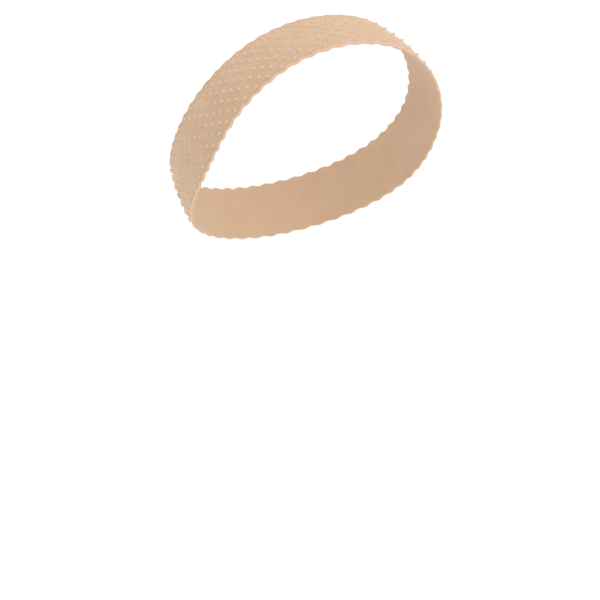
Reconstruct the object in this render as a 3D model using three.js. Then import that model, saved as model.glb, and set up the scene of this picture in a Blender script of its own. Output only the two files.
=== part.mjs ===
// Wig grip band: one closed ring of moulded silicone, nubbed outside, with scalloped and lipped edges.
// Millimetres, +Z up. The band's high front is at -Y and its low rear at +Y.
// The origin is the middle of its opening, which is the centre of the form that it is worn on.
import * as THREE from 'three';

// Oval form that the worn band is stretched over, and so the shape of its plain inner face
const formBreadth = 157;
const formLength = 197;
const riseHeight = 73;
const dropDepth = 99;
const formTiltDegrees = 6.5;

// Course of the band's middle line round the form, low at the rear and high at the front
const ringTiltDegrees = 46;
const seatDegrees = 4.3;
const saddleDegrees = 5.7;
const rearDropDegrees = 0.7;
const quarterRippleDegrees = 0.4;

// Stretch of the worn band: it is narrower at the front and rear, its nubs are further apart there, and
// the rows run ahead towards the rear edge
const endNarrowing = 0.08;
const endSpread = 0.056;
const quarterSpread = 0.022;
const rowLeanDegrees = 0.09;

// Sheet
const wall = 1.3;
const innerStrips = 4;

// Nubs, in staggered rows
const nubRows = 9;
const nubsPerRow = 56;
const rowSpacing = 4.1;
const nubHeight = 1.3;
const nubFootWidth = 1.9;
const nubTipWidth = 1.2;

// Edges, with a raised lip that follows the scallops
const edgeMargin = 3.3;
const scallopRise = 0.6;
const lipWidth = 1.5;
const lipRise = 0.4;

// Section of the lip from the sheet outwards and round to the inner face: each point's way in from
// the edge as a share of lipWidth, and its height as shares of the wall and of lipRise
const lipSection = [
  { point: 'foot', inward: 1, ofWall: 1, ofRise: 0 },
  { point: 'crest', inward: 0.5, ofWall: 1, ofRise: 1 },
  { point: 'rim', inward: 0, ofWall: 0.5, ofRise: 0 },
  { point: 'heel', inward: 0.35, ofWall: 0, ofRise: 0 },
];

const silicone = new THREE.MeshStandardMaterial({ color: '#d9bca3', roughness: 0.55, metalness: 0 });

const bandWidth = (nubRows - 1) * rowSpacing + 2 * edgeMargin;
const stations = 2 * nubsPerRow;
const fullTurn = 2 * Math.PI;
const ringTilt = THREE.MathUtils.degToRad(ringTiltDegrees);
const formTilt = THREE.MathUtils.degToRad(formTiltDegrees);
const sideAxis = new THREE.Vector3(1, 0, 0);
const ringAxis = new THREE.Vector3(0, Math.sin(ringTilt), Math.cos(ringTilt));
const ringFront = new THREE.Vector3(0, -Math.cos(ringTilt), Math.sin(ringTilt));

// Half sizes of the oval form along its own axes: it is deeper below its middle than above
function formHalves(point) {
  return new THREE.Vector3(formBreadth / 2, formLength / 2, point.z > 0 ? riseHeight : dropDepth);
}

// The point of the form's surface that lies in the given direction from its centre
function onForm(direction) {
  const point = direction.clone().applyAxisAngle(sideAxis, -formTilt);
  const size = point.clone().divide(formHalves(point)).length();
  return direction.clone().divideScalar(size);
}

// The outward normal of the form at a point of its surface
function formNormal(surfacePoint) {
  const point = surfacePoint.clone().applyAxisAngle(sideAxis, -formTilt);
  const halves = formHalves(point);
  return point.divide(halves).divide(halves).normalize().applyAxisAngle(sideAxis, formTilt);
}

// The direction at an angle round the ring, from its front towards -X, and an angle above its plane
function ringDirection(round, above) {
  return ringFront.clone().multiplyScalar(Math.cos(round) * Math.cos(above))
    .addScaledVector(sideAxis, -Math.sin(round) * Math.cos(above))
    .addScaledVector(ringAxis, Math.sin(above));
}

// A point of the band, by its way round in nub pitches from the front, its way across in millimetres
// from the middle line towards the rear edge, and its height above the inner face
function bandPoint(pitches, across, height) {
  const even = (fullTurn * pitches) / nubsPerRow;
  const leant = even + THREE.MathUtils.degToRad(rowLeanDegrees) * across * Math.sin(even);
  const round = leant + endSpread * Math.sin(leant) + quarterSpread * Math.sin(3 * leant);
  const seat = THREE.MathUtils.degToRad(
    seatDegrees + saddleDegrees * Math.cos(2 * round) - rearDropDegrees * Math.cos(3 * round)
      - quarterRippleDegrees * Math.cos(4 * round),
  );
  const narrowed = across * (1 - endNarrowing * Math.cos(round) ** 2);
  const reach = onForm(ringDirection(round, seat)).length();
  const inner = onForm(ringDirection(round, seat + narrowed / reach));
  return inner.addScaledVector(formNormal(inner), height);
}

const positions = [];
const faces = [];

function addPoint(point) {
  positions.push(point.x, point.y, point.z);
  return positions.length / 3 - 1;
}

// The corners go clockwise as seen with the front of the ring to the left and its rear edge up
function addQuad(a, b, c, d) {
  faces.push(a, b, c, a, c, d);
}

function wrap(station) {
  return (station + stations) % stations;
}

// How far the edge beyond a nub row stands off the middle line at a station, scallop included
function edgeReach(station, row) {
  return bandWidth / 2 + scallopRise * Math.cos((fullTurn * (station - 1 - row)) / 2);
}

// One ring of points for each point of a lip, on the front edge (side -1) or the rear edge (side 1)
function lipRings(side) {
  const row = side < 0 ? 0 : nubRows - 1;
  return lipSection.map(({ inward, ofWall, ofRise }) => {
    const height = ofWall * wall + ofRise * lipRise;
    return Array.from({ length: stations }, (_, station) => {
      const across = side * (edgeReach(station, row) - inward * lipWidth);
      return addPoint(bandPoint(station / 2, across, height));
    });
  });
}

// Rings of points on the inner face, between the heels of the two lips
function innerRings() {
  return Array.from({ length: innerStrips - 1 }, (_, index) => {
    const share = (2 * (index + 1)) / innerStrips - 1;
    return Array.from({ length: stations }, (_ignored, station) => {
      return addPoint(bandPoint(station / 2, (share * bandWidth) / 2, 0));
    });
  });
}

function joinRings(lower, upper) {
  for (let station = 0; station < stations; station += 1) {
    const next = wrap(station + 1);
    addQuad(lower[station], upper[station], upper[next], lower[next]);
  }
}

// One nub: a four-sided peg with a narrower tip. It returns the four points of its foot.
function addNub(station, row) {
  const across = (row - (nubRows - 1) / 2) * rowSpacing;
  const pitches = station / 2;
  const foot = bandPoint(pitches, across, wall);
  const upward = bandPoint(pitches, across, wall + 1).sub(foot);
  const onward = bandPoint(pitches + 0.5, across, wall).sub(foot).projectOnPlane(upward).normalize();
  const rearward = onward.clone().cross(upward).normalize();
  const tip = foot.clone().addScaledVector(upward, nubHeight);
  const corner = (centre, direction, width) => (
    addPoint(centre.clone().addScaledVector(direction, width / 2))
  );
  const ringOfCorners = (centre, width) => ({
    front: corner(centre, rearward, -width),
    left: corner(centre, onward, -width),
    rear: corner(centre, rearward, width),
    right: corner(centre, onward, width),
  });
  const low = ringOfCorners(foot, nubFootWidth);
  const high = ringOfCorners(tip, nubTipWidth);
  addQuad(low.front, low.left, high.left, high.front);
  addQuad(low.left, low.rear, high.rear, high.left);
  addQuad(low.rear, low.right, high.right, high.rear);
  addQuad(low.right, low.front, high.front, high.right);
  addQuad(high.front, high.left, high.rear, high.right);
  return low;
}

const frontLip = lipRings(-1);
const rearLip = lipRings(1);
const frontFoot = frontLip[0];
const rearFoot = rearLip[0];

// Feet of the nubs by row and station. Nubs stand where row and station add up to an odd number.
const nubFeet = Array.from({ length: nubRows }, (_, row) => {
  return Array.from({ length: stations }, (_ignored, station) => {
    return (row + station) % 2 === 1 ? addNub(station, row) : null;
  });
});

// The foot of the nub at a station of a row. Past the first and last rows the foot of the lip
// takes its place, with the point beside it to the left and right.
function footAt(row, station) {
  if (row >= 0 && row < nubRows) {
    return nubFeet[row][wrap(station)];
  }
  const ring = row < 0 ? frontFoot : rearFoot;
  const middle = ring[wrap(station)];
  return { front: middle, rear: middle, left: ring[wrap(station - 1)], right: ring[wrap(station + 1)] };
}

// The sheet between the nubs: a quad in each gap of a row, and two from each nub to the row behind it
for (let row = -1; row < nubRows; row += 1) {
  for (let station = 0; station < stations; station += 1) {
    const isNub = (row + station + 2) % 2 === 1;
    if (isNub) {
      const own = footAt(row, station);
      const onward = footAt(row + 1, station + 1);
      const backward = footAt(row + 1, station - 1);
      addQuad(own.rear, onward.left, onward.front, own.right);
      addQuad(own.left, backward.front, backward.right, own.rear);
    } else if (row >= 0) {
      const before = footAt(row, station - 1);
      const after = footAt(row, station + 1);
      addQuad(footAt(row - 1, station).rear, before.right, footAt(row + 1, station).front, after.left);
    }
  }
}

// The lips, the edges and the inner face, from the foot of the rear lip round to that of the front lip
const wayRound = [...rearLip, ...innerRings().reverse(), ...frontLip.slice().reverse()];
for (let ring = 0; ring < wayRound.length - 1; ring += 1) {
  joinRings(wayRound[ring], wayRound[ring + 1]);
}

const geometry = new THREE.BufferGeometry();
geometry.setAttribute('position', new THREE.Float32BufferAttribute(positions, 3));
geometry.setIndex(faces);
geometry.computeVertexNormals();

const gripBand = new THREE.Mesh(geometry, silicone);
gripBand.name = 'grip_band';

const part = new THREE.Group();
part.add(gripBand);

export default part;
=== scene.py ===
import math

import bmesh
import bpy
from mathutils import Matrix, Vector


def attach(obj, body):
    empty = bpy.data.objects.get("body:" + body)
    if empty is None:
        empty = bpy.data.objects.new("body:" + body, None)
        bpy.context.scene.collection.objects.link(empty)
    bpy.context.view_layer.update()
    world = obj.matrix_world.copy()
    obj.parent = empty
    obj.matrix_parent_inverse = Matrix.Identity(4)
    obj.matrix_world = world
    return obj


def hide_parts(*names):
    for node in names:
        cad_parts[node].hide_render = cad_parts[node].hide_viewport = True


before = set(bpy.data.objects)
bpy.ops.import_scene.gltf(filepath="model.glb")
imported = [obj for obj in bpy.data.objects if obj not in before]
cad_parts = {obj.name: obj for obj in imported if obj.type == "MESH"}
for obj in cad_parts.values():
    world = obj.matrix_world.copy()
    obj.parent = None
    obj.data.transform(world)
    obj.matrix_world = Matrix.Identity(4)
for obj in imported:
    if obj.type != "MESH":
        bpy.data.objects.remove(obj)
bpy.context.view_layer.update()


# The grip band
# One closed ring of soft silicone sheet. Its rows of nubs and its scalloped, lipped edges are cast with it
# in one shot, and in use it is stretched over an oval form. Here it is shaped first as it leaves its
# mould, round and level, and then drawn over that form.

MM = 0.001
FULL_TURN = 2 * math.pi
WALL = 1.3 * MM
MOULD_GIRTH = 530 * MM
MOULD_RADIUS = MOULD_GIRTH / FULL_TURN

NUB_ROWS = 9
NUBS_PER_ROW = 56
ROW_SPACING = 4.1 * MM
STATIONS = 2 * NUBS_PER_ROW
STATION_TURN = FULL_TURN / STATIONS
CELL_CUTS = 3
NUB_SIDES = 4 * CELL_CUTS
NUB_INSET = 0.4 * MM

EDGE_MARGIN = 3.3 * MM
HALF_WIDTH = (NUB_ROWS - 1) / 2 * ROW_SPACING + EDGE_MARGIN
SCALLOP_RISE = 0.6 * MM
LIP_WIDTH = 1.5 * MM
LIP_RISE = 0.4 * MM
VALLEY_DEPTH = 0.12 * MM
INNER_CUTS = 11

# One nub from its foot on the sheet to its tip
NUB_FOOT_RADIUS = 1.15 * MM
NUB_PROFILE = [
    {"radius": 0.92 * MM, "height": 0.12 * MM},
    {"radius": 0.76 * MM, "height": 0.62 * MM},
    {"radius": 0.55 * MM, "height": 1.08 * MM},
    {"radius": 0.24 * MM, "height": 1.30 * MM},
]

# The lip from the sheet over its crest and round the rim to the inner surface: way in from the edge as a
# share of the lip's width, height as shares of the wall and of the lip's rise, and how much painted
# highlight it carries
LIP_SECTION = [
    {"inward": 0.76, "of_wall": 1.00, "of_rise": 0.55, "light": 0.0},
    {"inward": 0.50, "of_wall": 1.00, "of_rise": 1.00, "light": 0.2},
    {"inward": 0.22, "of_wall": 1.00, "of_rise": 0.75, "light": 1.0},
    {"inward": 0.05, "of_wall": 0.92, "of_rise": 0.00, "light": 0.7},
    {"inward": 0.00, "of_wall": 0.50, "of_rise": 0.00, "light": 0.2},
    {"inward": 0.10, "of_wall": 0.12, "of_rise": 0.00, "light": 0.0},
    {"inward": 0.35, "of_wall": 0.00, "of_rise": 0.00, "light": 0.0},
]


def turn_of(point):
    """The angle of a point round the mould, from 0 to a full turn."""
    return math.atan2(point.y, point.x) % FULL_TURN


def in_mould(turn, across, height):
    """The point at a turn round the mould, a way across and a height over the inner surface."""
    radius = MOULD_RADIUS + height
    return Vector((radius * math.cos(turn), radius * math.sin(turn), across))


def nearest_cell(point):
    """The station and row of the cell of the nub pattern that a point lies in."""
    station = round(turn_of(point) / STATION_TURN) % STATIONS
    row = round(point.z / ROW_SPACING + (NUB_ROWS - 1) / 2)
    return station, row


def edge_point(point, inward, height):
    """The point beside one on the edge that lies a way in from the scalloped rim, at a height."""
    side = math.copysign(1, point.z)
    row = 0 if side < 0 else NUB_ROWS - 1
    turn = turn_of(point)
    scallop = SCALLOP_RISE * math.cos(NUBS_PER_ROW * turn - math.pi * (1 + row))
    return in_mould(turn, side * (HALF_WIDTH + scallop - inward), height)


def shape_nub(nub, radius, height):
    """Sets the corners of one level of a nub on a circle, at a height above the sheet."""
    station, row = nearest_cell(nub.calc_center_median())
    turn = station * STATION_TURN
    across = (row - (NUB_ROWS - 1) / 2) * ROW_SPACING
    side_turn = FULL_TURN / NUB_SIDES
    for corner in nub.verts:
        ahead = math.remainder(turn_of(corner.co) - turn, FULL_TURN) * MOULD_RADIUS
        angle = math.atan2(corner.co.z - across, ahead)
        angle = (math.floor(angle / side_turn) + 0.5) * side_turn
        along = radius * math.cos(angle) / MOULD_RADIUS
        corner.co = in_mould(turn + along, across + radius * math.sin(angle), WALL + height)
        corner[nub_mark] = height / NUB_PROFILE[-1]["height"]


band = bmesh.new()
band.verts.layers.float.new("nub")
band.verts.layers.float.new("lip")
nub_mark = band.verts.layers.float["nub"]
lip_highlight_mark = band.verts.layers.float["lip"]

# The sheet: a line across the band, cut for the cells of the nub pattern and spun once round
first_turn = STATION_TURN / CELL_CUTS / 2
line_ends = [
    band.verts.new(in_mould(first_turn, side * NUB_ROWS * ROW_SPACING / 2, WALL)) for side in (-1, 1)
]
line = band.edges.new(line_ends)
bmesh.ops.subdivide_edges(band, edges=[line], cuts=NUB_ROWS * CELL_CUTS - 1)
bmesh.ops.spin(
    band,
    geom=band.verts[:] + band.edges[:],
    cent=(0, 0, 0),
    axis=(0, 0, 1),
    angle=FULL_TURN,
    steps=STATIONS * CELL_CUTS,
    use_merge=True,
)
for vert in band.verts:
    if vert.is_boundary:
        vert.co = edge_point(vert.co, LIP_WIDTH, WALL - VALLEY_DEPTH)

# The nubs: every other cell, staggered from row to row, becomes a round peg
nub_cells = [face for face in band.faces if sum(nearest_cell(face.calc_center_median())) % 2 == 1]
nubs = bmesh.ops.dissolve_faces(band, faces=nub_cells)["region"]
bmesh.ops.inset_individual(band, faces=nubs, thickness=NUB_INSET, use_even_offset=True)
for nub in nubs:
    shape_nub(nub, NUB_FOOT_RADIUS, 0)
for level in NUB_PROFILE:
    nubs = bmesh.ops.extrude_discrete_faces(band, faces=nubs)["faces"]
    for nub in nubs:
        shape_nub(nub, level["radius"], level["height"])

# The lips, drawn out from both edges of the sheet and round to the inside
for level in LIP_SECTION:
    bmesh.ops.extrude_edge_only(band, edges=[edge for edge in band.edges if edge.is_boundary])
    height = level["of_wall"] * WALL + level["of_rise"] * LIP_RISE
    for vert in band.verts:
        if vert.is_boundary:
            vert.co = edge_point(vert.co, level["inward"] * LIP_WIDTH, height)
            # Each level of the lip gets its share of the painted highlight
            vert[lip_highlight_mark] = level["light"]

# The plain inner surface, from lip to lip
inner = bmesh.ops.bridge_loops(band, edges=[edge for edge in band.edges if edge.is_boundary])
bmesh.ops.subdivide_edges(band, edges=inner["edges"], cuts=INNER_CUTS, use_grid_fill=True)

# The oval form that the worn band is stretched over, higher above its middle than below, and the course
# of the band's middle line round it: the band's high front is at -Y
FORM_HALF_BREADTH = 157 * MM / 2
FORM_HALF_LENGTH = 197 * MM / 2
FORM_RISE = 73 * MM
FORM_DROP = 99 * MM
FORM_TILT = math.radians(6.5)
RING_TILT = math.radians(46)
SEAT = math.radians(4.3)
SADDLE = math.radians(5.7)
REAR_DROP = math.radians(0.7)
QUARTER_RIPPLE = math.radians(0.4)

# How the worn band is stretched: it is narrower at the front and rear, its nubs are further apart there,
# and the rows run ahead towards the rear edge
END_NARROWING = 0.08
END_SPREAD = 0.056
QUARTER_SPREAD = 0.022
ROW_LEAN = math.radians(0.09) / MM

into_form = Matrix.Rotation(-FORM_TILT, 3, "X")
out_of_form = Matrix.Rotation(FORM_TILT, 3, "X")
ring_front = Vector((0, -math.cos(RING_TILT), math.sin(RING_TILT)))
ring_side = Vector((-1, 0, 0))
ring_axis = Vector((0, math.sin(RING_TILT), math.cos(RING_TILT)))


def by_form(point):
    """A point divided by the form's half sizes, in the form's own axes."""
    depth = FORM_RISE if point.z > 0 else FORM_DROP
    return Vector((point.x / FORM_HALF_BREADTH, point.y / FORM_HALF_LENGTH, point.z / depth))


def on_form(turn, above):
    """The point of the form seen from its centre at a turn round the ring and an angle above it."""
    level = ring_front * math.cos(turn) + ring_side * math.sin(turn)
    direction = level * math.cos(above) + ring_axis * math.sin(above)
    return direction / by_form(into_form @ direction).length


def stretched(point):
    """Where a point of the moulded ring comes to lie on the form."""
    turn = turn_of(point)
    turn += ROW_LEAN * point.z * math.sin(turn)
    turn += END_SPREAD * math.sin(turn) + QUARTER_SPREAD * math.sin(3 * turn)
    height = math.hypot(point.x, point.y) - MOULD_RADIUS
    seat = SEAT + SADDLE * math.cos(2 * turn) - REAR_DROP * math.cos(3 * turn)
    seat -= QUARTER_RIPPLE * math.cos(4 * turn)
    across = point.z * (1 - END_NARROWING * math.cos(turn) ** 2)
    inner_point = on_form(turn, seat + across / on_form(turn, seat).length)
    normal = out_of_form @ by_form(by_form(into_form @ inner_point)).normalized()
    return inner_point + normal * height


for vert in band.verts:
    vert.co = stretched(vert.co)
bmesh.ops.recalc_face_normals(band, faces=band.faces[:])
for face in band.faces:
    face.smooth = True

band_mesh = bpy.data.meshes.new("silicone_band")
band.to_mesh(band_mesh)
band.free()
band_piece = bpy.data.objects.new("silicone_band", band_mesh)
bpy.context.scene.collection.objects.link(band_piece)


class Shade:
    """A socket of a material's nodes. Arithmetic on it adds Math nodes."""

    def __init__(self, tree, socket=None):
        self.tree = tree
        self.socket = socket

    def node(self, kind, settings=None, inputs=None, output=0):
        """Adds a node, and gives the wanted output of it."""
        made = self.tree.nodes.new(kind)
        for name, value in (settings or {}).items():
            setattr(made, name, value)
        for name, value in (inputs or {}).items():
            if isinstance(value, Shade):
                self.tree.links.new(value.socket, made.inputs[name])
            else:
                made.inputs[name].default_value = value
        return Shade(self.tree, made.outputs[output] if made.outputs else None)

    def math(self, operation, first, second):
        return self.node("ShaderNodeMath", {"operation": operation}, {0: first, 1: second})

    def __add__(self, other):
        return self.math("ADD", self, other)

    def __radd__(self, other):
        return self.math("ADD", other, self)

    def __sub__(self, other):
        return self.math("SUBTRACT", self, other)

    def __rsub__(self, other):
        return self.math("SUBTRACT", other, self)

    def __mul__(self, other):
        return self.math("MULTIPLY", self, other)

    def __rmul__(self, other):
        return self.math("MULTIPLY", other, self)

    def blend(self, mask, first, second):
        """A colour between two others, on the colour sockets of a Mix node."""
        return self.node("ShaderNodeMix", {"data_type": "RGBA"}, {0: mask, 6: first, 7: second}, 2)

    def between(self, value, low, high):
        """A soft step from 0 at the low value to 1 at the high one."""
        return self.node(
            "ShaderNodeMapRange",
            {"interpolation_type": "SMOOTHSTEP"},
            {"Value": value, "From Min": low, "From Max": high},
        )


# Cast silicone, skin-beige and matt: softly mottled in the mass. The nubs carry a painted glow and the
# lips a painted highlight
SHEET_BEIGE = (0.582, 0.409, 0.274, 1)
SHEET_PALE = (0.606, 0.432, 0.295, 1)
# Painted glow: the nubs are painted paler than the sheet, standing in for light glowing through them and
# lifting their shaded sides
NUB_PAINTED_GLOW = (0.682, 0.502, 0.360, 1)
# Painted highlight: the lip's crest and rim are painted paler, as if they caught the light
LIP_PAINTED_HIGHLIGHT = (0.675, 0.494, 0.364, 1)
NUB_GLOW_START = 0.0
NUB_GLOW_FULL = 0.12

# Noise in repeats to the metre: broad clouds and fine specks mottle the tone between the two limits
CLOUD_SCALE = 70
SPECK_SCALE = 900
GRAIN_SCALE = 3200
CLOUD_SHARE = 0.75
MOTTLE_LOW = 0.36
MOTTLE_HIGH = 0.64

# The matt skin that the mould leaves: a nub's tip is a little smoother than the sheet
SHEET_ROUGHNESS = 0.50
SPECK_ROUGHNESS = 0.14
NUB_POLISH = 0.06
GRAIN_SHARE = 0.6
RELIEF_DEPTH = 0.12 * MM
RELIEF_STRENGTH = 0.5
SILICONE_IOR = 1.41
SPECULAR_LEVEL = 0.3

# Light that scatters in the sheet, furthest in red
SCATTER_SHARE = 0.7
SCATTER_REACH = 1.6 * MM
SCATTER_BY_COLOUR = (1.0, 0.7, 0.5)

silicone = bpy.data.materials.new("matt_beige_silicone")
silicone.use_nodes = True
silicone.node_tree.nodes.clear()
shade = Shade(silicone.node_tree)
place = shade.node("ShaderNodeTexCoord", output="Object")
nub_share = shade.node("ShaderNodeAttribute", {"attribute_name": "nub"}, output="Fac")
lip_highlight_share = shade.node("ShaderNodeAttribute", {"attribute_name": "lip"}, output="Fac")
cloud = shade.node("ShaderNodeTexNoise", inputs={"Vector": place, "Scale": CLOUD_SCALE, "Detail": 3})
speck = shade.node("ShaderNodeTexNoise", inputs={"Vector": place, "Scale": SPECK_SCALE, "Detail": 2})
grain = shade.node("ShaderNodeTexNoise", inputs={"Vector": place, "Scale": GRAIN_SCALE, "Detail": 2})

mixed_noise = cloud * CLOUD_SHARE + speck * (1 - CLOUD_SHARE)
mottle = shade.between(mixed_noise, MOTTLE_LOW, MOTTLE_HIGH)
nub_painted_glow = shade.between(nub_share, NUB_GLOW_START, NUB_GLOW_FULL)
colour = shade.blend(mottle, SHEET_BEIGE, SHEET_PALE)
# The painted glow covers each nub from just above its foot to its tip
colour = shade.blend(nub_painted_glow, colour, NUB_PAINTED_GLOW)
# The painted highlight along both lips
colour = shade.blend(lip_highlight_share, colour, LIP_PAINTED_HIGHLIGHT)
roughness = SHEET_ROUGHNESS + SPECK_ROUGHNESS * speck - NUB_POLISH * nub_share
relief = shade.node(
    "ShaderNodeBump",
    inputs={
        "Strength": RELIEF_STRENGTH,
        "Distance": RELIEF_DEPTH,
        "Height": grain * GRAIN_SHARE + speck,
    },
    output="Normal",
)
surface = shade.node(
    "ShaderNodeBsdfPrincipled",
    inputs={
        "Base Color": colour,
        "Roughness": roughness,
        "Normal": relief,
        "IOR": SILICONE_IOR,
        "Specular IOR Level": SPECULAR_LEVEL,
        "Subsurface Weight": SCATTER_SHARE,
        "Subsurface Radius": SCATTER_BY_COLOUR,
        "Subsurface Scale": SCATTER_REACH,
    },
)
shade.node("ShaderNodeOutputMaterial", inputs={"Surface": surface})
band_mesh.materials.append(silicone)

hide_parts("grip_band")
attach(band_piece, "root")


# The studio
# The worn band is held up well above a plain pale floor, which sweeps up all round into a seamless
# backdrop. Large soft boxes stand in front, one to the left and one high up, and one hangs overhead.

FLOOR_HEIGHT = -0.75
FLOOR_RADIUS = 2.2
FLOOR_SIDES = 96
SWEEP = [
    {"radius": 2.50, "rise": 0.04},
    {"radius": 2.75, "rise": 0.15},
    {"radius": 2.92, "rise": 0.32},
    {"radius": 3.00, "rise": 0.55},
    {"radius": 3.00, "rise": 2.20},
]

floor = bmesh.new()
bmesh.ops.create_circle(floor, cap_ends=True, segments=FLOOR_SIDES, radius=FLOOR_RADIUS)
bmesh.ops.translate(floor, verts=floor.verts[:], vec=(0, 0, FLOOR_HEIGHT))
for level in SWEEP:
    bmesh.ops.extrude_edge_only(floor, edges=[edge for edge in floor.edges if edge.is_boundary])
    for vert in floor.verts:
        if vert.is_boundary:
            vert.co = vert.co.xy.normalized().to_3d() * level["radius"]
            vert.co.z = FLOOR_HEIGHT + level["rise"]
for face in floor.faces:
    face.smooth = True
floor_mesh = bpy.data.meshes.new("studio_floor")
floor.to_mesh(floor_mesh)
floor.free()
studio_floor = bpy.data.objects.new("studio_floor", floor_mesh)
bpy.context.scene.collection.objects.link(studio_floor)

# Matt white paper, which glows a little so that it shows no shadow
PAPER_TONE = (0.50, 0.50, 0.50, 1)
PAPER_ROUGHNESS = 0.9
PAPER_GLOW = 0.53

paper = bpy.data.materials.new("white_paper")
paper.use_nodes = True
paper.node_tree.nodes.clear()
shade = Shade(paper.node_tree)
surface = shade.node(
    "ShaderNodeBsdfPrincipled",
    inputs={
        "Base Color": PAPER_TONE,
        "Roughness": PAPER_ROUGHNESS,
        "Emission Color": (1, 1, 1, 1),
        "Emission Strength": PAPER_GLOW,
    },
)
shade.node("ShaderNodeOutputMaterial", inputs={"Surface": surface})
floor_mesh.materials.append(paper)

SOFT_BOXES = [
    {"name": "front_left", "at": (-1.3, -1.3, 0.9), "width": 1.2, "watts": 0.3},
    {"name": "front_high", "at": (0.3, -1.6, 1.1), "width": 2.2, "watts": 13.0},
    {"name": "overhead", "at": (0.0, 0.1, 1.5), "width": 2.6, "watts": 14.5},
]
for box in SOFT_BOXES:
    lamp = bpy.data.lights.new(box["name"], "AREA")
    lamp.size = box["width"]
    lamp.energy = box["watts"]
    light = bpy.data.objects.new(box["name"], lamp)
    light.location = box["at"]
    light.rotation_euler = (-light.location).to_track_quat("-Z", "Y").to_euler()
    bpy.context.scene.collection.objects.link(light)

AIR_LIGHT = 0.645
world = bpy.data.worlds.new("studio_air")
world.use_nodes = True
air = world.node_tree.nodes["Background"]
air.inputs["Color"].default_value = (1, 1, 1, 1)
air.inputs["Strength"].default_value = AIR_LIGHT
bpy.context.scene.world = world
bpy.context.scene.view_settings.view_transform = "Standard"

# The camera stands in front and to the left, and looks a little down. The band lies high in its frame.
CAMERA_PLACE = (-0.7985, -1.2712, 0.1128)
CAMERA_DIP = 8.18
CAMERA_TURN = -31.95
SENSOR_WIDTH = 36
FOCAL_LENGTH = 149.4

lens = bpy.data.cameras.new("camera")
lens.sensor_width = SENSOR_WIDTH
lens.lens = FOCAL_LENGTH
camera = bpy.data.objects.new("camera", lens)
camera.location = CAMERA_PLACE
camera.rotation_euler = (math.radians(90 - CAMERA_DIP), 0, math.radians(CAMERA_TURN))
bpy.context.scene.collection.objects.link(camera)
bpy.context.scene.camera = camera
